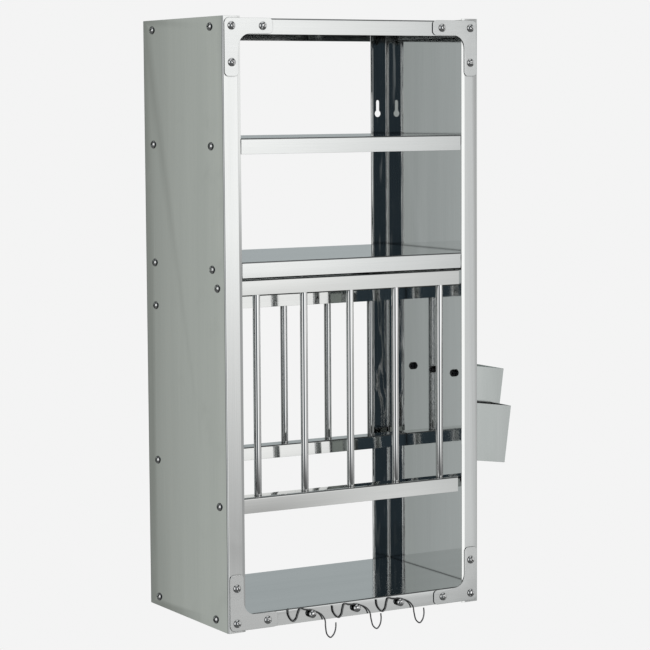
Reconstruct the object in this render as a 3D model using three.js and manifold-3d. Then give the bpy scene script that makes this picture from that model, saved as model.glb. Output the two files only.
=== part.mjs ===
// Wall-hung stainless steel plate rack: two shelves over a rack for plates, a bottom shelf with
// three swinging cup hooks, and a cutlery box on the right-hand side.
//
// Millimetres, +Z up. The wall is the plane Y = 0 and the front looks along -Y. X = 0 is the middle
// of the width. The pieces are laid out on heights above the feet of the side panels, and the whole
// rack is then lowered so that Z = 0 is the middle of the bottom shelf's rear flange.
import * as THREE from "three";
import { mergeVertices } from "three/addons/utils/BufferGeometryUtils.js";
import Module from "manifold-3d";

const wasm = await Module();
wasm.setup();

// ---- Driving dimensions ----
const WIDTH = 380;
const DEPTH = 227;
const HEIGHT = 779;
const SHEET = 1;
const BEND = 2.2; // outer radius of a bend
const WALL_BEND = 4.2; // outer radius of the side panels' rear bends
const GAP = 0.3; // play between pieces that touch

const POST_FLANGE = 25; // front flange of a side panel
const WALL_FLANGE = 28; // rear flange of a side panel
const ROLLED_EDGE = 4.2; // width of the strip that turns back along a flange's free edge
const ROLLED_DROP = 0.9; // how far that strip turns back

const PAN_FLANGE = 20; // height of the flanges round the top panel and the shelves
const SHELF_TOPS = { top_panel: 776.3, upper_shelf: 627, middle_shelf: 471.5, bottom_shelf: 22.5 };
const REAR_FLANGE = { top_panel: 21.6 }; // height of the rear flange where it isn't PAN_FLANGE
const FRONT_SHORT = { upper_shelf: 1.7, middle_shelf: 1.7 }; // the front flange's gap at the right post
const PAN_SCREW_DROP = 10; // below the pan's top
const PAN_SCREW_FROM_FRONT = { front: 34, rear: 198 };

const RAIL_DEPTH = 27;
const RAIL_SCREW_FROM_FACE = 19;
const RAIL_SCREW_RISE = 8.75; // above the lower edge of a rail's face
const ROD_FROM_FACE = 12.5;
// A front rail's face runs from the left post to rightEnd. The lip along a rail's back rises or hangs,
// and a face's lower edge stands forward by its lean.
const RAILS = {
  rack_upper_front_rail: { top: 449, height: 19.3, face: 1.5, rightEnd: 161.5, lip: 2.5, lean: 0 },
  rack_lower_front_rail: { top: 171.3, height: 19.7, face: 1.5, rightEnd: 159.5, lip: -18.5, lean: 0 },
  rack_upper_rear_rail: { top: 413.5, height: 17.5, face: 178, rightEnd: null, lip: -16.5, lean: 0.4 },
  rack_lower_rear_rail: { top: 206.8, height: 17.5, face: 178, rightEnd: null, lip: -16.5, lean: 0.9 },
};

const ROD_DIAMETER = 9.5;
const ROD_PITCH = 69;
const ROD_COUNT = 5;
const ROD_PROUD = { above: -0.2, below: 1.2 }; // past the outer faces of the two webs it passes through

const GUSSET = {
  long: 68.5,
  tall: 72.5,
  wide: 19.5,
  inset: 2.3, // in from the rack's outline
  sheet: 1.2,
  corner: 7,
  end: 5.5,
  inner: 17,
};
const GUSSET_SCREW_IN = 12.2; // from the panel's outside and from its foot or head
const GUSSET_SCREW_ALONG = { level: 56.5, upright: 57.5 };

const SCREW = { head: 10.2, dome: 3.3, rim: 0.7, shank: 4.8, hole: 5.4, length: 7 };

const HOOK_PITCH = 67;
const HOOK_ROW_MIDDLE = -2.5;
const HOOK_WIRE = 2;
const HOOK_EYE = 4.1; // radius of the eye's centreline
const HOOK_LAYER = 2.4; // the wire's step forward in its turn round the screw
const HOOKS_HANG = { left: 4.5, middle: -2, right: -1.5 }; // degrees that each is turned on its screw
const HOOK_SCREW_HEIGHT = 12.7;

const CUTLERY = {
  lean: THREE.MathUtils.degToRad(7.8),
  sheet: 1,
  rimOut: 63.5, // how far the tall box's outer wall stands off the side panel at its rim
  rimInner: 317, // height of the tall box's rim at the side panel
  lowRimInner: 268.5,
  floorInner: 190.5,
  front: 4, // from the front of the rack
  step: 31, // where the low pocket ends and the tall box starts
  back: 184,
};
const CUTLERY_BOLTS = { height: 304, fromFront: [55.4, 107.4, 159.4] };

const BOLT_NUT = { across: 10, height: 4, proud: 2.2 };

const KEYHOLE = { height: 654.5, fromSide: 16.6, round: 9.6, slot: 5, reach: 19 };

// ---- Worked out from them ----
const HALF = WIDTH / 2;
const FRONT = -DEPTH;
const INSIDE = HALF - SHEET; // inner face of a side panel
const PAN_END = INSIDE - GAP; // outer face of a pan's or rail's end flange
const BETWEEN_POSTS = HALF - POST_FLANGE - GAP;
const BETWEEN_WALL_FLANGES = HALF - WALL_FLANGE - GAP;
const EDGE_DEPTH = SHEET + ROLLED_DROP + GAP; // a notch this deep clears a flange and its rolled edge
const LOWERED_BY = SHELF_TOPS.bottom_shelf - PAN_FLANGE / 2;

// ---- Finishes ----
const FINISHES = {
  brushed: { color: 0xb9bfbb, roughness: 0.34, metalness: 1 },
  polished: { color: 0xc8cccd, roughness: 0.1, metalness: 1 },
  bright: { color: 0xdadcdc, roughness: 0.16, metalness: 1 },
};
const finish = Object.fromEntries(
  Object.entries(FINISHES).map(([name, look]) => [name, new THREE.MeshStandardMaterial(look)]),
);

// ---- Solids ----
function solidOf(geometry) {
  const bare = new THREE.BufferGeometry();
  bare.setAttribute("position", geometry.getAttribute("position"));
  if (geometry.index) bare.setIndex(geometry.index);
  const merged = mergeVertices(bare, 1e-4);
  return new wasm.Manifold(
    new wasm.Mesh({
      numProp: 3,
      vertProperties: merged.attributes.position.array,
      triVerts: new Uint32Array(merged.index.array),
    }),
  );
}

function geometryOf(solid) {
  const mesh = solid.getMesh();
  const geometry = new THREE.BufferGeometry();
  geometry.setAttribute("position", new THREE.BufferAttribute(mesh.vertProperties, 3));
  geometry.setIndex(new THREE.BufferAttribute(mesh.triVerts, 1));
  geometry.computeVertexNormals();
  return geometry;
}

const join = (solids) => solids.reduce((whole, piece) => whole.add(piece));
const cut = (solid, cutters) => cutters.reduce((left, cutter) => left.subtract(cutter), solid);

// A block between two corners.
function block(low, high) {
  const size = high.map((value, axis) => value - low[axis]);
  const middle = high.map((value, axis) => (value + low[axis]) / 2);
  return solidOf(new THREE.BoxGeometry(...size).translate(...middle));
}

// A round bar or a round hole's cutter along one axis, centred on a point.
function roundBar(axis, centre, diameter, length, sides = 12) {
  const bar = new THREE.CylinderGeometry(diameter / 2, diameter / 2, length, sides);
  if (axis === "x") bar.rotateZ(Math.PI / 2);
  if (axis === "z") bar.rotateX(Math.PI / 2);
  return solidOf(bar.translate(...centre));
}

// A bent sheet's section: a centreline of straight runs with a rounded corner at each inner point,
// offset by half the sheet to each side. Points are [u, v] or, with an outer radius of their own,
// [u, v, outer]; the outline runs up one side and back.
function bentSheetOutline(points) {
  const steps = 4;
  const runs = points.map(([u, v]) => new THREE.Vector2(u, v));
  const line = [{ at: runs[0], along: runs[1].clone().sub(runs[0]).normalize() }];
  for (let i = 1; i < runs.length - 1; i++) {
    const into = runs[i].clone().sub(runs[i - 1]).normalize();
    const away = runs[i + 1].clone().sub(runs[i]).normalize();
    const turn = Math.atan2(into.cross(away), into.dot(away));
    const radius = (points[i][2] ?? BEND) - SHEET / 2;
    const reach = radius * Math.tan(Math.abs(turn) / 2);
    const start = runs[i].clone().addScaledVector(into, -reach);
    const side = Math.sign(turn);
    const hub = start.clone().add(new THREE.Vector2(-into.y, into.x).multiplyScalar(side * radius));
    for (let k = 0; k <= steps; k++) {
      const angle = (turn * k) / steps;
      const at = start.clone().rotateAround(hub, angle);
      const along = into.clone().rotateAround(new THREE.Vector2(), angle);
      line.push({ at, along });
    }
  }
  const last = runs.length - 1;
  line.push({ at: runs[last], along: runs[last].clone().sub(runs[last - 1]).normalize() });
  const offset = (side) =>
    line.map(({ at, along }) =>
      at.clone().add(new THREE.Vector2(-along.y, along.x).multiplyScalar((side * SHEET) / 2)),
    );
  const outline = [...offset(-1), ...offset(1).reverse()];
  return new THREE.Shape(outline);
}

const EXTRUDE = { bevelEnabled: false, curveSegments: 4 };

// The section lies in X and Y and is drawn out along Z.
function extrudeUp(shape, from, to) {
  return solidOf(
    new THREE.ExtrudeGeometry(shape, { ...EXTRUDE, depth: to - from }).translate(0, 0, from),
  );
}

// The section lies in Y (u) and Z (v) and is drawn out along X.
function extrudeAcross(shape, from, to) {
  const drawn = new THREE.ExtrudeGeometry(shape, { ...EXTRUDE, depth: to - from });
  drawn.rotateX(Math.PI / 2);
  drawn.rotateZ(Math.PI / 2);
  return solidOf(drawn.translate(from, 0, 0));
}

// The section lies in X (u) and Z (v) and is drawn out along Y.
function extrudeBack(shape, from, to) {
  const drawn = new THREE.ExtrudeGeometry(shape, { ...EXTRUDE, depth: to - from });
  drawn.rotateX(Math.PI / 2);
  return solidOf(drawn.translate(0, to, 0));
}

const rack = new THREE.Group();

function addPiece(name, geometry, look, position = [0, 0, 0], turn = [0, 0, 0]) {
  const mesh = new THREE.Mesh(geometry, finish[look]);
  mesh.name = name;
  mesh.position.set(...position);
  mesh.rotation.set(...turn);
  rack.add(mesh);
  return mesh;
}

const fromFront = (distance) => FRONT + distance;

// ---- Side panels ----
function sideScrewPlaces() {
  const pans = Object.entries(SHELF_TOPS).flatMap(([pan, top]) =>
    Object.entries(PAN_SCREW_FROM_FRONT).map(([end, distance]) => ({
      name: `${pan}_${end}`,
      distance,
      height: top - PAN_SCREW_DROP,
    })),
  );
  const rails = Object.entries(RAILS).map(([rail, { top, height, face }]) => ({
    name: rail,
    distance: face + RAIL_SCREW_FROM_FACE,
    height: top - height + RAIL_SCREW_RISE,
  }));
  return [...pans, ...rails];
}

const panelScrewHoles = (side) =>
  sideScrewPlaces().map(({ distance, height }) =>
    roundBar("x", [side * HALF, fromFront(distance), height], SCREW.hole, 12),
  );

const cutleryBoltHoles = () =>
  CUTLERY_BOLTS.fromFront.map((distance) =>
    roundBar("x", [HALF, fromFront(distance), CUTLERY_BOLTS.height], SCREW.hole, 12),
  );

const hookPlaces = () => [-1, 0, 1].map((place) => HOOK_ROW_MIDDLE + place * HOOK_PITCH);

const hookScrewHole = (x) => roundBar("y", [x, FRONT, HOOK_SCREW_HEIGHT], SCREW.hole, 6);

function keyhole(side) {
  const x = side * (HALF - KEYHOLE.fromSide);
  const half = KEYHOLE.slot / 2;
  const top = KEYHOLE.height + KEYHOLE.reach - half;
  return [
    roundBar("y", [x, 0, KEYHOLE.height], KEYHOLE.round, 10, 16),
    block([x - half, -5, KEYHOLE.height], [x + half, 5, top]),
    roundBar("y", [x, 0, top], KEYHOLE.slot, 10, 12),
  ];
}

function gussetScrewPlaces() {
  const places = [];
  for (const side of [-1, 1]) {
    for (const end of ["upper", "lower"]) {
      const height = (rise) => (end === "upper" ? HEIGHT - rise : rise);
      places.push(
        { name: "corner", side, end, x: HALF - GUSSET_SCREW_IN, height: height(GUSSET_SCREW_IN) },
        { name: "rail", side, end, x: HALF - GUSSET_SCREW_ALONG.level, height: height(GUSSET_SCREW_IN) },
        { name: "post", side, end, x: HALF - GUSSET_SCREW_IN, height: height(GUSSET_SCREW_ALONG.upright) },
      );
    }
  }
  return places.map((place) => ({ ...place, x: place.side * place.x }));
}

const gussetScrewHole = ({ x, height }) =>
  roundBar("y", [x, FRONT, height], SCREW.hole, 24);

function sidePanel(side) {
  const mid = SHEET / 2;
  const outer = side * (HALF - mid);
  const postEdge = side * (HALF - POST_FLANGE);
  const wallEdge = side * (HALF - WALL_FLANGE);
  const section = bentSheetOutline([
    [postEdge, FRONT + mid + ROLLED_DROP],
    [postEdge + side * ROLLED_EDGE, FRONT + mid],
    [outer, FRONT + mid],
    [outer, -mid, WALL_BEND],
    [wallEdge + side * ROLLED_EDGE, -mid],
    [wallEdge, -mid - ROLLED_DROP],
  ]);
  const holes = [
    ...panelScrewHoles(side),
    ...keyhole(side),
    ...gussetScrewPlaces()
      .filter((place) => place.side === side && place.name !== "rail")
      .map(gussetScrewHole),
  ];
  if (side > 0) holes.push(...cutleryBoltHoles());
  return geometryOf(cut(extrudeUp(section, 0, HEIGHT), holes));
}

addPiece("left_side_panel", sidePanel(-1), "brushed");
addPiece("right_side_panel", sidePanel(1), "brushed");

// ---- Top panel and shelves: a pan with a flange down each of its four sides ----
function endFlanges(front, back, bottom, top) {
  return [-1, 1].map((side) =>
    block(
      [Math.min(side * PAN_END, side * (PAN_END - SHEET)), front, bottom],
      [Math.max(side * PAN_END, side * (PAN_END - SHEET)), back, top],
    ),
  );
}

function pan(name) {
  const top = SHELF_TOPS[name];
  const bottom = top - PAN_FLANGE;
  const mid = SHEET / 2;
  const frontEnd = BETWEEN_POSTS - (FRONT_SHORT[name] ?? 0);
  const rearHalf = BETWEEN_WALL_FLANGES;
  const notchFront = FRONT + EDGE_DEPTH;
  const notchRear = -(WALL_BEND + GAP);
  const besideBend = INSIDE - WALL_BEND;
  const frontSection = bentSheetOutline([
    [FRONT + mid, bottom],
    [FRONT + mid, top - mid],
    [-DEPTH / 2, top - mid],
  ]);
  const rearSection = bentSheetOutline([
    [-DEPTH / 2, top - mid],
    [-mid, top - mid],
    [-mid, top - (REAR_FLANGE[name] ?? PAN_FLANGE)],
  ]);
  const pieces = [
    extrudeAcross(frontSection, -BETWEEN_POSTS, frontEnd),
    extrudeAcross(rearSection, -rearHalf, rearHalf),
    block([-PAN_END, notchFront, top - SHEET], [PAN_END, notchRear, top]),
    block([-besideBend, notchRear - BEND, top - SHEET], [besideBend, -EDGE_DEPTH, top]),
    ...endFlanges(notchFront, notchRear, bottom, top),
  ];
  const holes = panelScrewHoles(-1).concat(panelScrewHoles(1), gussetScrewPlaces().map(gussetScrewHole));
  if (name === "bottom_shelf") holes.push(...hookPlaces().map(hookScrewHole));
  return geometryOf(cut(join(pieces), holes));
}

for (const name of Object.keys(SHELF_TOPS)) addPiece(name, pan(name), "brushed");

// ---- Plate rack: four rails that open downwards, and the rods between their webs ----
const rodPlaces = Array.from(
  { length: ROD_COUNT },
  (_, i) => (i - (ROD_COUNT - 1) / 2) * ROD_PITCH,
);

function rail(name) {
  const { top, height, face, rightEnd, lip, lean } = RAILS[name];
  const bottom = top - height;
  const mid = SHEET / 2;
  const front = fromFront(face);
  const back = front + RAIL_DEPTH;
  const [leftEnd, faceEnd] = rightEnd ? [-BETWEEN_POSTS, rightEnd] : [-PAN_END, PAN_END];
  const tabFront = front + 2 * BEND;
  const tabBack = back - BEND;
  const faceSection = bentSheetOutline([
    [front + mid - lean, bottom],
    [front + mid, top - mid],
    [tabBack, top - mid],
  ]);
  const backSection = bentSheetOutline([
    [tabFront, top - mid],
    [back - mid, top - mid],
    [back - mid, top + lip],
  ]);
  const pieces = [
    extrudeAcross(faceSection, leftEnd, faceEnd),
    extrudeAcross(backSection, -PAN_END, PAN_END),
    ...endFlanges(tabFront, tabBack, bottom, top),
  ];
  const rodHoles = rodPlaces.map((x) =>
    roundBar("z", [x, front + ROD_FROM_FACE, top], ROD_DIAMETER + 2 * GAP, 6, 16),
  );
  const screwHoles = [-1, 1].map((side) =>
    roundBar(
      "x",
      [side * PAN_END, front + RAIL_SCREW_FROM_FACE, bottom + RAIL_SCREW_RISE],
      SCREW.hole,
      8,
    ),
  );
  return geometryOf(cut(join(pieces), [...rodHoles, ...screwHoles]));
}

for (const name of Object.keys(RAILS)) addPiece(name, rail(name), "polished");

function addRods(row, upper, lower) {
  const low = RAILS[lower].top - SHEET - ROD_PROUD.below;
  const high = RAILS[upper].top + ROD_PROUD.above;
  const y = fromFront(RAILS[lower].face + ROD_FROM_FACE);
  const bar = new THREE.CylinderGeometry(ROD_DIAMETER / 2, ROD_DIAMETER / 2, high - low, 16);
  bar.rotateX(Math.PI / 2);
  rodPlaces.forEach((x, i) =>
    addPiece(`${row}_rod_${i + 1}`, bar, "bright", [x, y, (low + high) / 2]),
  );
}

addRods("front", "rack_upper_front_rail", "rack_lower_front_rail");
addRods("rear", "rack_upper_rear_rail", "rack_lower_rear_rail");

// ---- Corner gussets ----
// The plate's corner is at u = v = 0; one leg lies along u and the other stands along v.
function gussetOutline(mirrorU, mirrorV) {
  const { long, tall, wide, corner, end, inner } = GUSSET;
  const quarter = Math.PI / 2;
  const outline = new THREE.Shape();
  outline.absarc(corner, corner, corner, 2 * quarter, 3 * quarter);
  outline.absarc(long - end, end, end, -quarter, 0);
  outline.absarc(long - end, wide - end, end, 0, quarter);
  outline.absarc(wide + inner, wide + inner, inner, -quarter, -2 * quarter, true);
  outline.absarc(wide - end, tall - end, end, 0, quarter);
  outline.absarc(end, tall - end, end, quarter, 2 * quarter);
  const points = outline.getPoints(EXTRUDE.curveSegments);
  return new THREE.Shape(points.map((p) => new THREE.Vector2(mirrorU * p.x, mirrorV * p.y)));
}

function gusset(side, end) {
  const mirrorV = end === "upper" ? -1 : 1;
  const u = side * (HALF - GUSSET.inset);
  const v = end === "upper" ? HEIGHT - GUSSET.inset : GUSSET.inset;
  const back = FRONT - GAP;
  const plate = extrudeBack(gussetOutline(-side, mirrorV), back - GUSSET.sheet, back);
  const places = gussetScrewPlaces().filter((place) => place.side === side && place.end === end);
  return geometryOf(cut(plate.translate([u, 0, v]), places.map(gussetScrewHole)));
}

for (const end of ["upper", "lower"]) {
  addPiece(`${end}_left_gusset`, gusset(-1, end), "bright");
  addPiece(`${end}_right_gusset`, gusset(1, end), "bright");
}

// ---- Screws: a domed head with its flat face at the origin and its shank along -Y ----
function screwGeometry(length) {
  const { head, dome, rim, shank } = SCREW;
  const rise = dome - rim;
  const steps = 2;
  const profile = [new THREE.Vector2(0, -length), new THREE.Vector2(shank / 2, -length)];
  profile.push(new THREE.Vector2(shank / 2, 0), new THREE.Vector2(head / 2, 0));
  for (let i = 0; i < steps; i++) {
    const angle = (i / steps) * (Math.PI / 2);
    profile.push(new THREE.Vector2((head / 2) * Math.cos(angle), rim + rise * Math.sin(angle)));
  }
  profile.push(new THREE.Vector2(0, dome));
  return new THREE.LatheGeometry(profile, 10);
}

const shortScrew = screwGeometry(SCREW.length);
const FACING_FRONT = [Math.PI, 0, 0];
const FACING_LEFT = [0, 0, Math.PI / 2];

for (const { name, side, end, x, height } of gussetScrewPlaces()) {
  const hand = side < 0 ? "left" : "right";
  const y = FRONT - GUSSET.sheet - 2 * GAP;
  addPiece(`${end}_${hand}_gusset_${name}_screw`, shortScrew, "bright", [x, y, height], FACING_FRONT);
}

sideScrewPlaces().forEach(({ name, distance, height }) => {
  const place = [-HALF - GAP, fromFront(distance), height];
  addPiece(`left_${name}_screw`, shortScrew, "bright", place, FACING_LEFT);
});

// ---- Cup hooks: each a bent wire with one turn round its screw ----
const HOOK_REAR_LAYER = -(GAP + HOOK_WIRE / 2);
const HOOK_FRONT_LAYER = HOOK_REAR_LAYER - HOOK_LAYER;

function hookPath() {
  const rear = (x, z) => new THREE.Vector3(x, HOOK_REAR_LAYER, z);
  const front = (x, z) => new THREE.Vector3(x, HOOK_FRONT_LAYER, z);
  const smallCup = [rear(-35.4, 8.2), rear(-34, -0.6), rear(-26.4, -9), rear(-22, -5.8), rear(-19.6, 2.1)];
  const toEye = [rear(-17.1, 7.7), rear(-10, 5.8)];
  const eye = [];
  const [enter, leave, step] = [95, -285, -38];
  for (let angle = enter; angle >= leave; angle += step) {
    const turned = THREE.MathUtils.degToRad(angle);
    const share = (enter - angle) / (enter - leave);
    eye.push(
      new THREE.Vector3(
        HOOK_EYE * Math.cos(turned),
        HOOK_REAR_LAYER - share * HOOK_LAYER,
        HOOK_EYE * Math.sin(turned),
      ),
    );
  }
  const fromEye = [front(8.4, 1.9), front(14.6, -1.8), front(19.5, -8)];
  const largeCup = [front(21.3, -18), front(24, -27.5), front(29.8, -32.3), front(34.6, -27.5)];
  const tip = [front(36.6, -20), front(36.4, -12.5)];
  const points = [...smallCup, ...toEye, ...eye, ...fromEye, ...largeCup, ...tip];
  return new THREE.CatmullRomCurve3(points, false, "centripetal");
}

function hookGeometry() {
  const sides = 6;
  const ring = Array.from({ length: sides }, (_, i) => {
    const angle = (i / sides) * 2 * Math.PI;
    return new THREE.Vector2(Math.cos(angle), Math.sin(angle)).multiplyScalar(HOOK_WIRE / 2);
  });
  return new THREE.ExtrudeGeometry(new THREE.Shape(ring), {
    ...EXTRUDE,
    steps: 60,
    extrudePath: hookPath(),
  });
}

const hookWire = hookGeometry();
const hookScrew = screwGeometry(SCREW.length + HOOK_LAYER);
const hookScrewFace = FRONT + HOOK_FRONT_LAYER - HOOK_WIRE / 2 - GAP;

Object.entries(HOOKS_HANG).forEach(([name, hang], i) => {
  const x = hookPlaces()[i];
  const turn = [0, THREE.MathUtils.degToRad(hang), 0];
  const screwPlace = [x, hookScrewFace, HOOK_SCREW_HEIGHT];
  addPiece(`${name}_cup_hook`, hookWire, "bright", [x, FRONT, HOOK_SCREW_HEIGHT], turn);
  addPiece(`${name}_cup_hook_screw`, hookScrew, "bright", screwPlace, FACING_FRONT);
});

// ---- Cutlery box on the outside of the right panel, with a low knife pocket on its front end ----
// A level at the side panel slopes down outwards, square to the outer wall.
function cutleryLevel(innerHeight, inset) {
  const { lean, rimOut, rimInner } = CUTLERY;
  const slope = Math.tan(lean);
  const wallFoot = HALF + rimOut - inset / Math.cos(lean);
  const rimHeight = rimInner - rimOut * slope;
  const height =
    (innerHeight - (wallFoot - HALF) * slope + rimHeight * slope * slope) / (1 + slope * slope);
  return [wallFoot - (rimHeight - height) * slope, height];
}

function cutlerySection(rim, floor, inset) {
  const slope = Math.tan(CUTLERY.lean);
  const back = HALF + GAP + inset;
  const atBack = (innerHeight) => [back, innerHeight - (back - HALF) * slope];
  const corners = [atBack(floor), cutleryLevel(floor, inset), cutleryLevel(rim, inset), atBack(rim)];
  return new THREE.Shape(corners.map((corner) => new THREE.Vector2(...corner)));
}

function cutleryBox(rim, front, back, rearOpen) {
  const { sheet, lean, floorInner } = CUTLERY;
  const over = 20; // the hollow's cutter stands this far above the rim
  const shell = extrudeBack(cutlerySection(rim, floorInner, 0), front, back);
  const hollow = extrudeBack(
    cutlerySection(rim + over, floorInner + sheet / Math.cos(lean), sheet),
    front + sheet,
    rearOpen ? back + over : back - sheet,
  );
  return shell.subtract(hollow);
}

const { front: pocketFront, step: boxFront, back: boxBack, rimInner, lowRimInner } = CUTLERY;
const knifePocket = cutleryBox(lowRimInner, fromFront(pocketFront), fromFront(boxFront) - GAP, true);
const cutleryShell = cutleryBox(rimInner, fromFront(boxFront), fromFront(boxBack), false);
addPiece("knife_pocket", geometryOf(knifePocket), "brushed");
addPiece("cutlery_box", geometryOf(cut(cutleryShell, cutleryBoltHoles())), "brushed");

// Its bolts, heads inside the box and nuts inside the rack.
function boltGeometry() {
  const { head, dome, rim, shank } = SCREW;
  const headFace = HALF + 2 * GAP + CUTLERY.sheet;
  const nutFace = INSIDE - GAP;
  const tail = nutFace - BOLT_NUT.height - BOLT_NUT.proud;
  const length = headFace - tail;
  const screw = solidOf(screwGeometry(length));
  const nut = new THREE.CylinderGeometry(BOLT_NUT.across / 2, BOLT_NUT.across / 2, BOLT_NUT.height, 6);
  const nutMiddle = -(headFace - nutFace + BOLT_NUT.height / 2);
  return geometryOf(screw.add(solidOf(nut.translate(0, nutMiddle, 0))));
}

const bolt = boltGeometry();
const FACING_RIGHT = [0, 0, -Math.PI / 2];
CUTLERY_BOLTS.fromFront.forEach((distance, i) => {
  const place = [HALF + 2 * GAP + CUTLERY.sheet, fromFront(distance), CUTLERY_BOLTS.height];
  addPiece(`cutlery_box_bolt_${i + 1}`, bolt, "bright", place, FACING_RIGHT);
});

// ---- The part's own frame: the wall behind it, and the middle of the lowest rear flange ----
rack.position.z = -LOWERED_BY;
const part = new THREE.Group();
part.add(rack);

export default part;
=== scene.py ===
import math
import random

import bmesh
import bpy
from mathutils import Matrix, Quaternion, Vector


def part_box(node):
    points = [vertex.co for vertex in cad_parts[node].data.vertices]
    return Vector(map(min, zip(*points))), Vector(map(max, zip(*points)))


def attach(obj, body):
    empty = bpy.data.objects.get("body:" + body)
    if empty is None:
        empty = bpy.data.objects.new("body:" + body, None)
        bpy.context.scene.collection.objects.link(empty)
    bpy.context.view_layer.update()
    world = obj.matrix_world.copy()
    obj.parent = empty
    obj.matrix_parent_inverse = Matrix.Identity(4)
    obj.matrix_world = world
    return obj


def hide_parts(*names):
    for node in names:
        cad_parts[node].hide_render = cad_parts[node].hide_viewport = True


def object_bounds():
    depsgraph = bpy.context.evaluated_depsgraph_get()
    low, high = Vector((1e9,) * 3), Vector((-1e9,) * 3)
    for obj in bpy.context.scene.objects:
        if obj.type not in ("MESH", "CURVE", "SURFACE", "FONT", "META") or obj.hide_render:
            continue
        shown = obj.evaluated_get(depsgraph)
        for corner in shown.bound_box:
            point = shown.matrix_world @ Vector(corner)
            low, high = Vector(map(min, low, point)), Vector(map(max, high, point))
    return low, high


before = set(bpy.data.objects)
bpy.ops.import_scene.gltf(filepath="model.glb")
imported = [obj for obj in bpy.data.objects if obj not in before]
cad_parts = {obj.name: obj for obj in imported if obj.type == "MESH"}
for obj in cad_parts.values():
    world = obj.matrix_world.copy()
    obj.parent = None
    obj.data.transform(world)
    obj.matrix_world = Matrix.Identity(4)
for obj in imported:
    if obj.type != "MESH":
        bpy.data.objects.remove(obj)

cad_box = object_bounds()
scene = bpy.context.scene
MM = 0.001


# ---- Camera ----
SENSOR_MM = 36.0
LENS_MM = 129.5
CAMERA_TURN = math.radians(30.13)  # to the right of straight back
CAMERA_DIP = math.radians(5.5)
CAMERA_ROLL = math.radians(-0.37)
CAMERA_AWAY = 3.1224
CAMERA_AIM = Vector((0.0145, -0.1235, 0.3624))


def make_camera():
    looks = Vector((
        math.sin(CAMERA_TURN) * math.cos(CAMERA_DIP),
        math.cos(CAMERA_TURN) * math.cos(CAMERA_DIP),
        -math.sin(CAMERA_DIP),
    ))
    camera = bpy.data.objects.new("camera", bpy.data.cameras.new("camera"))
    scene.collection.objects.link(camera)
    camera.data.sensor_width = SENSOR_MM
    camera.data.lens = LENS_MM
    camera.location = CAMERA_AIM - looks * CAMERA_AWAY
    camera.rotation_mode = "QUATERNION"
    level = looks.to_track_quat("-Z", "Y")
    camera.rotation_quaternion = level @ Quaternion((0, 0, 1), CAMERA_ROLL)
    scene.camera = camera


make_camera()


# ---- Node helpers ----
def node(tree, kind, inputs=None, **settings):
    made = tree.nodes.new(kind)
    for name, value in settings.items():
        setattr(made, name, value)
    for name, value in (inputs or {}).items():
        if isinstance(value, bpy.types.NodeSocket):
            tree.links.new(value, made.inputs[name])
        else:
            made.inputs[name].default_value = value
    return made


def maths(tree, operation, first, second):
    made = node(tree, "ShaderNodeMath", operation=operation)
    for socket, value in zip(made.inputs, (first, second)):
        if isinstance(value, bpy.types.NodeSocket):
            tree.links.new(value, socket)
        else:
            socket.default_value = value
    return made.outputs[0]


def spread(tree, value, from_range, to_range, smooth=False):
    inputs = {"Value": value, "From Min": from_range[0], "From Max": from_range[1]}
    inputs.update({"To Min": to_range[0], "To Max": to_range[1]})
    kind = "SMOOTHSTEP" if smooth else "LINEAR"
    return node(tree, "ShaderNodeMapRange", inputs, interpolation_type=kind, clamp=True).outputs[0]


def blend_colours(tree, share, first, second):
    made = node(tree, "ShaderNodeMix", data_type="RGBA")
    for name, value in (("Factor_Float", share), ("A_Color", first), ("B_Color", second)):
        socket = next(s for s in made.inputs if s.identifier == name)
        if isinstance(value, bpy.types.NodeSocket):
            tree.links.new(value, socket)
        else:
            socket.default_value = value
    return next(s for s in made.outputs if s.identifier == "Result_Color")


# ---- Studio: soft light by direction, and a pale floor far below ----
BACKDROP = (0.904, 0.904, 0.904, 1)
# Soft light round the horizon: degrees from straight behind the rack (positive to the right) and
# the light's red, green and blue.
HORIZON = (
    (-180, (1.15, 1.15, 1.14)),
    (-173, (1.10, 1.10, 1.10)),
    (-166, (0.25, 0.27, 0.29)),
    (-160, (0.035, 0.05, 0.062)),
    (-143, (0.035, 0.05, 0.062)),
    (-136, (0.26, 0.28, 0.29)),
    (-128, (0.62, 0.63, 0.63)),
    (-114, (0.92, 0.92, 0.92)),
    (-94, (0.86, 0.86, 0.86)),
    (-87, (0.35, 0.36, 0.36)),
    (-80, (0.045, 0.05, 0.05)),
    (-48, (0.045, 0.05, 0.05)),
    (-37, (0.41, 0.435, 0.42)),
    (-33.5, (0.43, 0.455, 0.455)),
    (-32.7, (0.405, 0.43, 0.43)),
    (-31.9, (0.315, 0.335, 0.325)),
    (-30.2, (0.31, 0.335, 0.315)),
    (-27.8, (0.495, 0.52, 0.485)),
    (-26.9, (0.47, 0.495, 0.465)),
    (-25.8, (0.270, 0.285, 0.262)),
    (-18, (0.16, 0.17, 0.165)),
    (-10, (0.05, 0.055, 0.055)),
    (8, (0.05, 0.055, 0.06)),
    (20, (0.37, 0.405, 0.415)),
    (45, (0.41, 0.445, 0.45)),
    (75, (0.60, 0.61, 0.61)),
    (105, (0.60, 0.60, 0.60)),
    (128, (0.42, 0.42, 0.42)),
    (144.5, (0.50, 0.50, 0.50)),
    (146.4, (0.74, 0.75, 0.75)),
    (150.8, (1.14, 1.14, 1.135)),
    (165, (1.22, 1.22, 1.21)),
)
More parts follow.
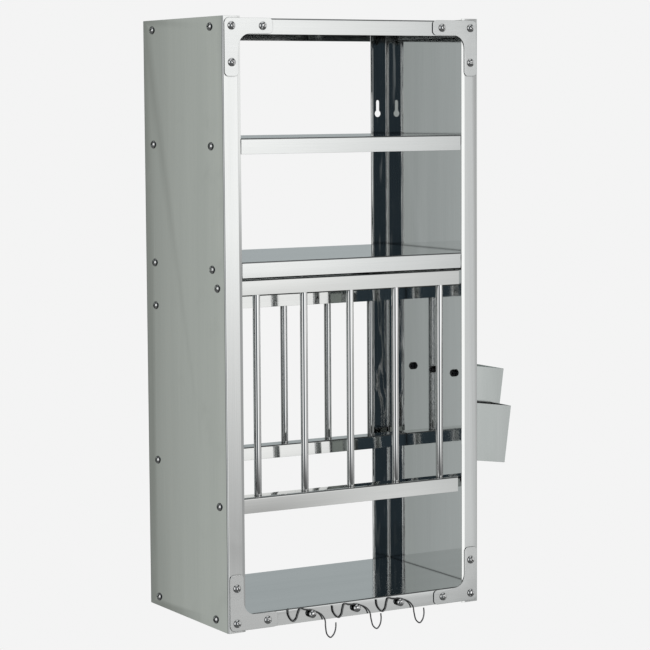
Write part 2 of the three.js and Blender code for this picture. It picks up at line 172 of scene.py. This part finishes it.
# Heights in the surroundings are sines of elevation: 0 is level and 1 is straight up.
UPPER_WALL = (0.08, 0.084, 0.086, 1)
UPPER_WALL_FROM, UPPER_WALL_FULL = 0.50, 0.60
OVERHEAD = (0.60, 0.61, 0.62, 1)
OVERHEAD_FROM, OVERHEAD_FULL = 0.80, 0.92
UNDERNEATH = (0.11, 0.112, 0.112, 1)
UNDERNEATH_FROM, UNDERNEATH_FULL = -0.24, -0.34
# The light in front of the rack dims downwards. Each dimming has heights with the share of light that
# is left there, and the degrees round the horizon over which it sets in and over which it ends.
DIMMING = (
    (
        (
            (-0.215, 0.78), (-0.203, 0.62), (-0.19, 0.43),
            (-0.145, 0.62), (-0.10, 0.80), (-0.055, 1.0),
        ),
        (147.3, 151.5),
        (158, 164),
    ),
    (
        ((-0.215, 0.68), (-0.20, 0.85), (-0.188, 1.0)),
        (134, 142),
        (158, 164),
    ),
)
# A pale patch in front, to the right: middle and soft reach, in degrees and in height.
PATCH = (1.02, 1.02, 1.01, 1)
PATCH_TURN, PATCH_TURN_REACH = 124, 14
PATCH_RISE, PATCH_RISE_REACH = 0.03, 0.11
PATCH_CORE = 0.35  # share of each reach that is fully lit
FLOOR_DROP = 0.9  # below the rack's lowest point
FLOOR_REACH = 3.2
FLOOR_SEGMENTS = 96
FLOOR_COLOUR = (0.9, 0.9, 0.9, 1)
OVERHEAD_LAMP = 2.1
OVERHEAD_LAMP_SPREAD = math.radians(120)


def ramp(tree, value, stops):
    made = node(tree, "ShaderNodeValToRGB", {0: value})
    elements = made.color_ramp.elements
    while len(elements) < len(stops):
        elements.new(0.5)
    for element, (place, colour) in zip(elements, stops):
        element.position = place
        element.color = colour
    return made.outputs["Color"]


def within(tree, value, middle, reach):
    """1 at the middle, fading smoothly to 0 at the reach to either side."""
    away = maths(tree, "ABSOLUTE", maths(tree, "SUBTRACT", value, middle), 0)
    return spread(tree, away, (reach * PATCH_CORE, reach), (1, 0), smooth=True)


def make_world():
    world = bpy.data.worlds.new("soft_studio")
    scene.world = world
    world.use_nodes = True
    tree = world.node_tree
    tree.nodes.clear()
    towards = node(tree, "ShaderNodeTexCoord").outputs["Generated"]
    parts = node(tree, "ShaderNodeSeparateXYZ", {0: towards})
    around = maths(tree, "ARCTAN2", parts.outputs["X"], parts.outputs["Y"])
    turn = spread(tree, around, (-math.pi, math.pi), (0, 1))
    ring = ramp(tree, turn, [((angle + 180) / 360, (*light, 1)) for angle, light in HORIZON])
    rise = parts.outputs["Z"]
    light = ring
    for stops, begins, ends in DIMMING:
        low, high = stops[0][0], stops[-1][0]
        drop = spread(tree, rise, (low, high), (0, 1))
        shares = [((at - low) / (high - low), (left, left, left, 1)) for at, left in stops]
        inputs = {0: light, 1: ramp(tree, drop, shares)}
        dimmed = node(tree, "ShaderNodeVectorMath", inputs, operation="MULTIPLY").outputs[0]
        begun = spread(tree, around, tuple(map(math.radians, begins)), (0, 1), smooth=True)
        lasting = spread(tree, around, tuple(map(math.radians, ends)), (1, 0), smooth=True)
        light = blend_colours(tree, maths(tree, "MULTIPLY", begun, lasting), light, dimmed)
    near_turn = within(tree, around, math.radians(PATCH_TURN), math.radians(PATCH_TURN_REACH))
    near_rise = within(tree, rise, PATCH_RISE, PATCH_RISE_REACH)
    light = blend_colours(tree, maths(tree, "MULTIPLY", near_turn, near_rise), light, PATCH)
    for colour, start, end in (
        (UPPER_WALL, UPPER_WALL_FROM, UPPER_WALL_FULL),
        (OVERHEAD, OVERHEAD_FROM, OVERHEAD_FULL),
        (UNDERNEATH, UNDERNEATH_FROM, UNDERNEATH_FULL),
    ):
        shares = (0, 1) if start < end else (1, 0)
        share = spread(tree, rise, sorted((start, end)), shares, smooth=True)
        light = blend_colours(tree, share, light, colour)
    seen = node(tree, "ShaderNodeLightPath").outputs["Is Camera Ray"]
    colour = blend_colours(tree, seen, light, BACKDROP)
    background = node(tree, "ShaderNodeBackground", {"Color": colour, "Strength": 1})
    node(tree, "ShaderNodeOutputWorld", {"Surface": background.outputs[0]})


def make_floor():
    mesh = bpy.data.meshes.new("floor")
    shape = bmesh.new()
    bmesh.ops.create_circle(shape, cap_ends=True, segments=FLOOR_SEGMENTS, radius=FLOOR_REACH)
    shape.to_mesh(mesh)
    shape.free()
    floor = bpy.data.objects.new("floor", mesh)
    scene.collection.objects.link(floor)
    floor.location.z = cad_box[0].z - FLOOR_DROP
    paint = bpy.data.materials.new("floor_paint")
    paint.use_nodes = True
    surface = paint.node_tree.nodes["Principled BSDF"]
    surface.inputs["Base Color"].default_value = FLOOR_COLOUR
    surface.inputs["Roughness"].default_value = 1
    surface.inputs["Specular IOR Level"].default_value = 0
    mesh.materials.append(paint)
    floor.visible_glossy = False


def make_lamp():
    """A soft lamp straight overhead. It lights the floor, and the steel doesn't mirror it."""
    lamp = bpy.data.lights.new("overhead_lamp", "SUN")
    lamp.energy = OVERHEAD_LAMP
    lamp.angle = OVERHEAD_LAMP_SPREAD
    holder = bpy.data.objects.new("overhead_lamp", lamp)
    holder.visible_glossy = False
    scene.collection.objects.link(holder)


make_world()
make_floor()
make_lamp()
scene.view_settings.view_transform = "Standard"


# ---- Steel finishes ----
# Lengths are in metres. "along" is the axis that the polishing lines follow.
ACROSS_LINES = 900  # polishing lines in a metre
ALONG_LINES = 9
BANDS_ACROSS = 34  # rolled bands in a metre
BANDS_ALONG = 1.3
SMUDGES = 13
LINE_SHARE, BAND_SHARE = 0.4, 0.6  # of the tone
TONE_RANGE = (0.3, 0.7)
FINE_LINE_DEPTH = 1.2e-6
STREAK_ROUGHNESS = 0.02
SMUDGE_RANGE = (0.5, 0.78)
SMUDGE_ROUGHNESS = 0.05
BANDS_SEED, CRUMPLE_SEED = 3, 7  # added to a finish's own seed
# Painted shade in corners and crevices: the colour darkens where little sky is open close by.
CREVICE_SAMPLES = 6
CREVICE_OPENING = (0.30, 0.80)  # share of the sky close by where the painted shade is full and where it is gone
CREVICE_PAINTED_SHADE = 0.12
WALL_FLANGE_REACH = (-2 * MM, -1.2 * MM)  # where the darker, crumpled flange by the wall begins
WALL_FLANGE_TONE = 0.7


def stretched(tree, place, along, across, lengthwise, seed):
    scale = [across, across, across]
    scale["XYZ".index(along)] = lengthwise
    inputs = {"Vector": place, "Scale": scale, "Location": (seed, seed, seed)}
    return node(tree, "ShaderNodeMapping", inputs).outputs[0]


def noise(tree, place, scale=1.0, detail=2.0, rough=0.5):
    inputs = {"Vector": place, "Scale": scale, "Detail": detail, "Roughness": rough}
    return node(tree, "ShaderNodeTexNoise", inputs).outputs[0]


def steel(
    name, dark, light, roughness, along, waves, seed,
    crevice=4 * MM, grain=FINE_LINE_DEPTH, crumple=None,
):
    """Polished sheet: fine lines, broad rolled bands, smudges, a slightly wavy surface and painted
    shade that darkens the colour in corners within reach of crevice.

    waves is a list of (waves in a metre, lengthwise share of that, height in metres). crumple is a
    wave of the same kind that only shows on the flange along the wall, which is darker too.
    """
    material = bpy.data.materials.new(name)
    material.use_nodes = True
    tree = material.node_tree
    tree.nodes.clear()
    place = node(tree, "ShaderNodeTexCoord").outputs["Object"]
    lines = noise(tree, stretched(tree, place, along, ACROSS_LINES, ALONG_LINES, seed), 1, 3, 0.6)
    rolled = stretched(tree, place, along, BANDS_ACROSS, BANDS_ALONG, seed + BANDS_SEED)
    bands = noise(tree, rolled, 1, 2, 0.5)
    smudges = noise(tree, place, SMUDGES, 4, 0.62)
    from_lines = maths(tree, "MULTIPLY", lines, LINE_SHARE)
    tone = maths(tree, "ADD", from_lines, maths(tree, "MULTIPLY", bands, BAND_SHARE))
    colour = blend_colours(tree, spread(tree, tone, TONE_RANGE, (0, 1)), (*dark, 1), (*light, 1))
    # Painted shade: the colour darkens in corners and crevices, where little sky is open close by.
    inputs = {"Distance": crevice}
    opening = node(tree, "ShaderNodeAmbientOcclusion", inputs, samples=CREVICE_SAMPLES)
    unshaded = spread(tree, opening.outputs["AO"], CREVICE_OPENING, (CREVICE_PAINTED_SHADE, 1))
    inputs = {0: colour, "Scale": unshaded}
    colour = node(tree, "ShaderNodeVectorMath", inputs, operation="SCALE").outputs[0]
    marks = spread(tree, smudges, SMUDGE_RANGE, (0, SMUDGE_ROUGHNESS), smooth=True)
    drawn = spread(tree, tone, TONE_RANGE, (-STREAK_ROUGHNESS / 2, STREAK_ROUGHNESS / 2))
    rough = maths(tree, "ADD", maths(tree, "ADD", marks, drawn), roughness)
    normal = node(tree, "ShaderNodeBump", {"Height": lines, "Distance": grain}).outputs[0]
    for number, (count, lengthwise, height) in enumerate(waves):
        swell = stretched(tree, place, along, count, count * lengthwise, seed + number)
        inputs = {"Height": noise(tree, swell, 1, 1, 0.4), "Distance": height, "Normal": normal}
        normal = node(tree, "ShaderNodeBump", inputs).outputs[0]
    if crumple:
        count, lengthwise, height = crumple
        swell = stretched(tree, place, along, count, count * lengthwise, seed + CRUMPLE_SEED)
        waved = noise(tree, swell, 1, 2, 0.5)
        depth = node(tree, "ShaderNodeSeparateXYZ", {0: place}).outputs["Y"]
        near_wall = spread(tree, depth, WALL_FLANGE_REACH, (0, 1), smooth=True)
        creased = maths(tree, "MULTIPLY", waved, near_wall)
        inputs = {"Height": creased, "Distance": height, "Normal": normal}
        normal = node(tree, "ShaderNodeBump", inputs).outputs[0]
        shade_left = spread(tree, depth, WALL_FLANGE_REACH, (1, WALL_FLANGE_TONE), smooth=True)
        inputs = {0: colour, "Scale": shade_left}
        colour = node(tree, "ShaderNodeVectorMath", inputs, operation="SCALE").outputs[0]
    surface = node(tree, "ShaderNodeBsdfPrincipled", {
        "Base Color": colour, "Metallic": 1, "Roughness": rough, "Normal": normal,
    })
    node(tree, "ShaderNodeOutputMaterial", {"Surface": surface.outputs[0]})
    return material


STEEL_DARK = (0.70, 0.715, 0.71)
STEEL_LIGHT = (0.79, 0.80, 0.795)
RAIL_DARK = (0.65, 0.66, 0.65)
RAIL_LIGHT = (0.73, 0.735, 0.725)
BRIGHT_DARK = (0.76, 0.765, 0.765)
BRIGHT_LIGHT = (0.84, 0.845, 0.845)
BOX_DARK = (0.61, 0.645, 0.63)
BOX_LIGHT = (0.69, 0.72, 0.71)
WIRE_DARK = (0.15, 0.152, 0.155)
WIRE_LIGHT = (0.25, 0.252, 0.255)
# Painted shade: the slots cut in the screw heads get a near-black colour.
RECESS_SHADE_DARK = (0.05, 0.052, 0.055)
RECESS_SHADE_LIGHT = (0.10, 0.105, 0.11)
NUT_DARK = (0.045, 0.045, 0.048)
NUT_LIGHT = (0.10, 0.10, 0.105)

finishes = {
    "side_panel_steel": steel(
        "side_panel_steel", STEEL_DARK, STEEL_LIGHT, 0.05, "Z",
        [(6, 0.3, 0.22 * MM), (22, 0.15, 0.02 * MM)], 1, grain=1.5e-6, crumple=(38, 0.2, 2.6 * MM),
    ),
    "shelf_steel": steel(
        "shelf_steel", STEEL_DARK, STEEL_LIGHT, 0.075, "X",
        [(8, 0.5, 0.3 * MM), (45, 0.2, 0.015 * MM)], 5,
    ),
    "rail_steel": steel(
        "rail_steel", RAIL_DARK, RAIL_LIGHT, 0.035, "X",
        [(9, 0.5, 0.2 * MM), (40, 0.3, 0.02 * MM)], 9, crevice=12 * MM,
    ),
    "rod_steel": steel(
        "rod_steel", BRIGHT_DARK, BRIGHT_LIGHT, 0.04, "Z", [(20, 0.2, 0.02 * MM)], 13, grain=0.3e-6
    ),
    "gusset_steel": steel("gusset_steel", STEEL_DARK, STEEL_LIGHT, 0.09, "X", [(20, 1, 0.12 * MM)], 17),
    "hook_wire": steel(
        "hook_wire", WIRE_DARK, WIRE_LIGHT, 0.14, "X", [(60, 1, 0.01 * MM)], 21, crevice=1.5 * MM
    ),
    "cutlery_box_steel": steel(
        "cutlery_box_steel", BOX_DARK, BOX_LIGHT, 0.12, "Z",
        [(9, 0.5, 0.4 * MM), (40, 0.3, 0.03 * MM)], 25,
    ),
    "fastener_steel": steel(
        "fastener_steel", BRIGHT_DARK, BRIGHT_LIGHT, 0.06, "X", [(180, 1, 0.01 * MM)], 29
    ),
    # Painted shade in the screw slots: the recess faces are near black.
    "fastener_recess": steel(
        "fastener_recess", RECESS_SHADE_DARK, RECESS_SHADE_LIGHT, 0.4, "X", [(300, 1, 0.02 * MM)], 33
    ),
    "nut_steel": steel(
        "nut_steel", NUT_DARK, NUT_LIGHT, 0.3, "X", [(200, 1, 0.02 * MM)], 37, crevice=1.5 * MM
    ),
}


# ---- CAD pieces that stay: joined corners, softened edges, even shading ----
SHARP = math.radians(35)
MERGE_WITHIN = 0.01 * MM
EDGE_SOFTNESS = 0.16 * MM
EDGE_SEGMENTS = 2
FACE_WEIGHT = 100  # the largest, so that flat faces shade flat
STAYS = {
    "side_panel_steel": ("left_side_panel", "right_side_panel"),
    "shelf_steel": ("top_panel", "upper_shelf", "middle_shelf", "bottom_shelf"),
    "rail_steel": tuple(
        f"rack_{end}_{row}_rail" for end in ("upper", "lower") for row in ("front", "rear")
    ),
    "gusset_steel": tuple(
        f"{end}_{hand}_gusset" for end in ("upper", "lower") for hand in ("left", "right")
    ),
    "cutlery_box_steel": ("cutlery_box", "knife_pocket"),
}


def joined_and_smooth():
    tree = bpy.data.node_groups.new("joined_and_smooth", "GeometryNodeTree")
    for way in ("INPUT", "OUTPUT"):
        tree.interface.new_socket("Geometry", in_out=way, socket_type="NodeSocketGeometry")
    came = node(tree, "NodeGroupInput").outputs[0]
    bare = node(tree, "GeometryNodeRemoveAttribute", {"Geometry": came, "Name": "custom_normal"})
    inputs = {"Geometry": bare.outputs[0], "Distance": MERGE_WITHIN}
    whole = node(tree, "GeometryNodeMergeByDistance", inputs)
    inputs = {"Geometry": whole.outputs[0], "Shade Smooth": True}
    smooth = node(tree, "GeometryNodeSetShadeSmooth", inputs, domain="FACE")
    angle = node(tree, "GeometryNodeInputMeshEdgeAngle").outputs[0]
    sharp = maths(tree, "GREATER_THAN", angle, SHARP)
    inputs = {"Geometry": smooth.outputs[0], "Selection": sharp, "Shade Smooth": False}
    kept = node(tree, "GeometryNodeSetShadeSmooth", inputs, domain="EDGE")
    node(tree, "NodeGroupOutput", {0: kept.outputs[0]})
    return tree


def finish_cad_pieces():
    tree = joined_and_smooth()
    for slot, names in STAYS.items():
        for name in names:
            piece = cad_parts[name]
            piece.modifiers.new("joined_and_smooth", "NODES").node_group = tree
            edges = piece.modifiers.new("soft_edges", "BEVEL")
            edges.width = EDGE_SOFTNESS
            edges.segments = EDGE_SEGMENTS
            edges.limit_method = "ANGLE"
            edges.angle_limit = SHARP
            edges.use_clamp_overlap = False
            even = piece.modifiers.new("even_shading", "WEIGHTED_NORMAL")
            even.weight = FACE_WEIGHT
            piece.material_slots[0].link = "OBJECT"
            piece.material_slots[0].material = finishes[slot]


finish_cad_pieces()


# ---- Mesh helpers ----
def mesh_object(name, mesh, slot, body, replaced, place=None, second=None):
    piece = bpy.data.objects.new(name, mesh)
    scene.collection.objects.link(piece)
    mesh.materials.clear()
    mesh.materials.append(finishes[slot])
    if second:
        mesh.materials.append(finishes[second])
    if place:
        piece.matrix_world = place
    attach(piece, body)
    if replaced:
        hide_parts(*replaced)
    return piece


def revolved(profile, segments):
    """A closed shape whose (radius, height) profile starts and ends on the axis."""
    shape = bmesh.new()
    rings = []
    for radius, height in profile:
        if radius == 0:
            rings.append([shape.verts.new((0, 0, height))])
            continue
        angles = (2 * math.pi * k / segments for k in range(segments))
        around = [(radius * math.cos(a), radius * math.sin(a), height) for a in angles]
        rings.append([shape.verts.new(place) for place in around])
    for lower, upper in zip(rings, rings[1:]):
        for k in range(segments):
            after = (k + 1) % segments
            corners = [lower[k % len(lower)], lower[after % len(lower)]]
            corners += [upper[after % len(upper)], upper[k % len(upper)]]
            shape.faces.new(list(dict.fromkeys(corners)))
    bmesh.ops.recalc_face_normals(shape, faces=shape.faces)
    mesh = bpy.data.meshes.new("revolved")
    shape.to_mesh(mesh)
    shape.free()
    return mesh


def combined(first, second, operation, second_material=False):
    """first with second cut out of it, joined to it or kept only where both are."""
    holders = [bpy.data.objects.new("holder", mesh) for mesh in (first, second)]
    for holder in holders:
        scene.collection.objects.link(holder)
    if second_material:
        first.materials.append(finishes["fastener_steel"])
        second.materials.append(finishes["fastener_recess"])
    work = holders[0].modifiers.new("combined", "BOOLEAN")
    work.object = holders[1]
    work.operation = operation
    work.solver = "EXACT"
    work.material_mode = "TRANSFER"
    bpy.context.view_layer.update()
    graph = bpy.context.evaluated_depsgraph_get()
    made = bpy.data.meshes.new_from_object(holders[0].evaluated_get(graph))
    for holder in holders:
        bpy.data.objects.remove(holder)
    return made


def box_mesh(size, middle):
    shape = bmesh.new()
    bmesh.ops.create_cube(shape, size=1)
    bmesh.ops.scale(shape, vec=size, verts=shape.verts)
    bmesh.ops.translate(shape, vec=middle, verts=shape.verts)
    mesh = bpy.data.meshes.new("box")
    shape.to_mesh(mesh)
    shape.free()
    return mesh


def arc(centre, radius, start, end, steps):
    """Points of an arc, angles in degrees."""
    angles = (math.radians(start + (end - start) * k / steps) for k in range(steps + 1))
    return [(centre[0] + radius * math.cos(a), centre[1] + radius * math.sin(a)) for a in angles]


def shade(mesh, angle=SHARP):
    mesh.shade_smooth()
    mesh.set_sharp_from_angle(angle=angle)


# ---- Screws: a domed slotted head on the outside, a plain hexagon nut on the inside ----
HEAD_RISE = 3.3 * MM
HEAD_RIM = 0.6 * MM
SHANK_RADIUS = 2.3 * MM
SHANK_BEVEL = 0.3 * MM
SLOT_WIDTH = 1.3 * MM
SLOT_DEPTH = 1.5 * MM
NUT_BEVEL = 0.45 * MM
ROUND_SEGMENTS = 40
CONE_SEGMENTS = 48
SCREW_LENGTH = 7 * MM
SCREW_NUT = {"flats": 7.0 * MM, "height": 2.8 * MM}
BOLT_NUT = {"flats": 8.6 * MM, "height": 4.0 * MM}
# Where each screw's nut starts, below the flat underside of the head.
GUSSET_NUT_TOP = -3.5 * MM
PANEL_NUT_TOP = -2.7 * MM
HOOK_NUT_TOP = -6.5 * MM
# How the slots of the gusset screws stand, in degrees from upright, turning to the left.
SLOT_STANDS = {
    "upper_left_gusset_corner_screw": 42,
    "upper_left_gusset_rail_screw": -38,
    "upper_left_gusset_post_screw": 48,
    "upper_right_gusset_rail_screw": 36,
    "upper_right_gusset_corner_screw": 50,
    "upper_right_gusset_post_screw": 82,
    "lower_left_gusset_rail_screw": 44,
    "lower_right_gusset_rail_screw": 52,
}
FRONT = Vector((0, -1, 0))
LEFT = Vector((-1, 0, 0))
RIGHT = Vector((1, 0, 0))
turns = random.Random(7)


def head_radius(name):
    low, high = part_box(name)
    return sorted(high - low)[1] / 2


def head_and_shank(radius, length):
    dome = HEAD_RISE - HEAD_RIM
    # The dome is the cap of a ball that meets the rim.
    ball = (radius**2 + dome**2) / (2 * dome)
    reach = math.degrees(math.asin(radius / ball))
    cap = [(0, HEAD_RISE)] + arc((0, HEAD_RISE - ball), ball, 90, 90 - reach, 8)[1:]
    profile = cap + [(radius, 0), (SHANK_RADIUS, 0), (SHANK_RADIUS, SHANK_BEVEL - length)]
    profile += [(SHANK_RADIUS - SHANK_BEVEL, -length), (0, -length)]
    return revolved(profile, ROUND_SEGMENTS)


def slotted_screw(radius, length):
    cutter = box_mesh((3 * radius, SLOT_WIDTH, 2 * SLOT_DEPTH), (0, 0, HEAD_RISE))
    return combined(head_and_shank(radius, length), cutter, "DIFFERENCE", second_material=True)


def nut(top, flats, height):
    """A hexagon nut with rounded-off corners, its upper face at the height given."""
    corner = flats / math.sqrt(3)
    face = flats / 2
    foot = top - height
    prism = revolved([(0, top), (corner, top), (corner, foot), (0, foot)], 6)
    cone = [(0, top), (face, top), (corner, top - NUT_BEVEL)]
    cone += [(corner, foot + NUT_BEVEL), (face, foot), (0, foot)]
    return combined(prism, revolved(cone, CONE_SEGMENTS), "INTERSECT")


def screw_and_nut(name, length, nut_top):
    whole = combined(slotted_screw(head_radius(name), length), nut(nut_top, **SCREW_NUT), "UNION")
    shade(whole)
    return whole


def facing(outwards, place, turn):
    """Puts a screw's axis, its own +Z, along outwards, with its slot turned about that axis."""
    spin = outwards.to_track_quat("Z", "X") @ Quaternion((0, 0, 1), turn)
    return Matrix.Translation(place) @ spin.to_matrix().to_4x4()


def head_face(name, outwards):
    """The point where a screw's axis meets the flat underside of its head."""
    low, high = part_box(name)
    place = (low + high) / 2
    axis = max(range(3), key=lambda i: abs(outwards[i]))
    outer = high[axis] if outwards[axis] > 0 else low[axis]
    place[axis] = outer - outwards[axis] * HEAD_RISE
    return place


def add_fastener(name, mesh, place, replaced=()):
    return mesh_object(
        name, mesh.copy(), "fastener_steel", "cabinet", replaced, place, second="fastener_recess"
    )


def add_screws():
    names = sorted(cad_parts)
    gusset_screw = screw_and_nut("upper_left_gusset_corner_screw", SCREW_LENGTH, GUSSET_NUT_TOP)
    panel_screw = screw_and_nut("left_top_panel_front_screw", SCREW_LENGTH, PANEL_NUT_TOP)
    for name in names:
        if name.endswith("_screw") and "gusset" in name:
            turn = turns.uniform(0, math.pi)
            if name in SLOT_STANDS:
                turn = math.radians(SLOT_STANDS[name])
            place = facing(FRONT, head_face(name, FRONT), turn)
            add_fastener(f"{name}_slotted", gusset_screw, place, [name])
        elif name.endswith("_screw") and name.startswith("left") and "hook" not in name:
            face = head_face(name, LEFT)
            turn = turns.uniform(0, math.pi)
            add_fastener(f"{name}_slotted", panel_screw, facing(LEFT, face, turn), [name])
            mirrored = Vector((-face.x, face.y, face.z))
            turn = turns.uniform(0, math.pi)
            mirror_name = name.replace("left", "right", 1)
            add_fastener(f"{mirror_name}_slotted", panel_screw, facing(RIGHT, mirrored, turn))


add_screws()


# ---- Cutlery box bolts: heads inside the box, nuts inside the rack ----
BOLT_NUT_GAP = 1.3 * MM  # from the side panel's outer face to the nut: the sheet and a little play
TAIL_ROUNDING = 0.8 * MM


def bolt_tail(top, length):
    """The end of a bolt's shank, from the height given downwards."""
    narrow = SHANK_RADIUS - TAIL_ROUNDING
    end = top - length
    sides = [(0, top), (SHANK_RADIUS, top), (SHANK_RADIUS, end + TAIL_ROUNDING)]
    return revolved(sides + [(narrow, end), (0, end)], ROUND_SEGMENTS)


def add_bolts():
    first = "cutlery_box_bolt_1"
    low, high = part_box(first)
    face = high.x - HEAD_RISE
    nut_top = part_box("right_side_panel")[1].x - BOLT_NUT_GAP - face
    nut_middle = nut_top - BOLT_NUT["height"] / 2
    bolt = slotted_screw(head_radius(first), -nut_middle)
    tail = bolt_tail(nut_middle, face - low.x + nut_middle)
    nut_and_tail = combined(nut(nut_top, **BOLT_NUT), tail, "UNION")
    shade(bolt)
    shade(nut_and_tail)
    for number in (1, 2, 3):
        name = f"cutlery_box_bolt_{number}"
        place = facing(RIGHT, head_face(name, RIGHT), turns.uniform(0, math.pi))
        add_fastener(f"{name}_slotted", bolt, place, [name])
        end = mesh_object(f"{name}_nut", nut_and_tail.copy(), "fastener_steel", "cabinet", (), place)
        end.data.materials[0] = finishes["nut_steel"]


add_bolts()


# ---- Rods ----
ROD_ROUNDING = 0.6 * MM


def add_rods():
    for row in ("front", "rear"):
        for number in range(1, 6):
            name = f"{row}_rod_{number}"
            low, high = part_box(name)
            radius = (high.x - low.x) / 2
            half = (high.z - low.z) / 2
            round_off = arc((radius - ROD_ROUNDING, half - ROD_ROUNDING), ROD_ROUNDING, 0, 90, 4)
            lower_end = [(r, -h) for r, h in reversed(round_off)]
            mesh = revolved([(0, -half)] + lower_end + round_off + [(0, half)], ROUND_SEGMENTS)
            shade(mesh)
            place = Matrix.Translation((low + high) / 2)
            mesh_object(f"{name}_drawn", mesh, "rod_steel", "cabinet", [name], place)


add_rods()


# ---- Cup hooks: one bent wire each, with a turn round its screw ----
WIRE_RADIUS = 0.95 * MM
EYE_RADIUS = 4.1 * MM
REAR_LAYER = -1.3 * MM
LAYER_STEP = 2.4 * MM
# Across and up from the screw, in millimetres.
SMALL_CUP = (
    (-35.4, 8.2), (-34, -0.6), (-26.4, -9), (-22, -5.8), (-19.6, 2.1), (-17.1, 7.7), (-10, 5.8),
)
LARGE_CUP = (
    (8.4, 1.9), (14.6, -1.8), (19.5, -8), (21.3, -18), (24, -27.4), (29.7, -31.8), (34.5, -27.4),
    (36.6, -20), (36.4, -12.5),
)
EYE_FROM, EYE_TO, EYE_STEP = 95, -285, -38  # degrees
STEPS_PER_STRETCH = 8
HOOKS_HANG = {"left": 4.5, "middle": -2, "right": -1.5}  # degrees that each is turned on its screw


def hook_points():
    rear, front = REAR_LAYER, REAR_LAYER - LAYER_STEP
    points = [Vector((x * MM, rear, z * MM)) for x, z in SMALL_CUP]
    for angle in range(EYE_FROM, EYE_TO - 1, EYE_STEP):
        share = (EYE_FROM - angle) / (EYE_FROM - EYE_TO)
        turned = math.radians(angle)
        points.append(Vector((
            EYE_RADIUS * math.cos(turned), rear - share * LAYER_STEP, EYE_RADIUS * math.sin(turned)
        )))
    return points + [Vector((x * MM, front, z * MM)) for x, z in LARGE_CUP]


def through(points):
    """A smooth line through the points: a centripetal Catmull-Rom curve."""
    ends = [2 * points[0] - points[1], *points, 2 * points[-1] - points[-2]]
    line = []
    for a, b, c, d in zip(ends, ends[1:], ends[2:], ends[3:]):
        before, during, after = (math.sqrt((q - p).length) for p, q in ((a, b), (b, c), (c, d)))
        leave = during * ((b - a) / before - (c - a) / (before + during) + (c - b) / during)
        arrive = during * ((c - b) / during - (d - b) / (during + after) + (d - c) / after)
        cubic = 2 * (b - c) + leave + arrive
        square = 3 * (c - b) - 2 * leave - arrive
        for k in range(STEPS_PER_STRETCH):
            t = k / STEPS_PER_STRETCH
            line.append(b + t * (leave + t * (square + t * cubic)))
    return line + [points[-1]]


def wire_mesh(line, radius):
    curve = bpy.data.curves.new("wire", "CURVE")
    curve.dimensions = "3D"
    curve.bevel_depth = radius
    curve.bevel_resolution = 4
    curve.use_fill_caps = True
    spline = curve.splines.new("POLY")
    spline.points.add(len(line) - 1)
    for point, place in zip(spline.points, line):
        point.co = (*place, 1)
    holder = bpy.data.objects.new("wire", curve)
    scene.collection.objects.link(holder)
    graph = bpy.context.evaluated_depsgraph_get()
    mesh = bpy.data.meshes.new_from_object(holder.evaluated_get(graph))
    bpy.data.objects.remove(holder)
    return mesh


def add_hooks():
    wire = wire_mesh(through(hook_points()), WIRE_RADIUS)
    shade(wire, math.radians(60))
    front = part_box("left_side_panel")[0].y
    low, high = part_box("left_cup_hook_screw")
    screw = screw_and_nut("left_cup_hook_screw", high.y - low.y - HEAD_RISE, HOOK_NUT_TOP)
    for hand, hang in HOOKS_HANG.items():
        name = f"{hand}_cup_hook_screw"
        face = head_face(name, FRONT)
        hanging = wire.copy()
        hanging.transform(Matrix.Rotation(math.radians(hang), 4, "Y"))
        place = Matrix.Translation((face.x, front, face.z))
        replaced = [f"{hand}_cup_hook"]
        mesh_object(f"{hand}_cup_hook_wire", hanging, "hook_wire", f"{hand}_hook", replaced, place)
        place = facing(FRONT, face, turns.uniform(0, math.pi))
        add_fastener(f"{name}_slotted", screw, place, [name])


add_hooks()
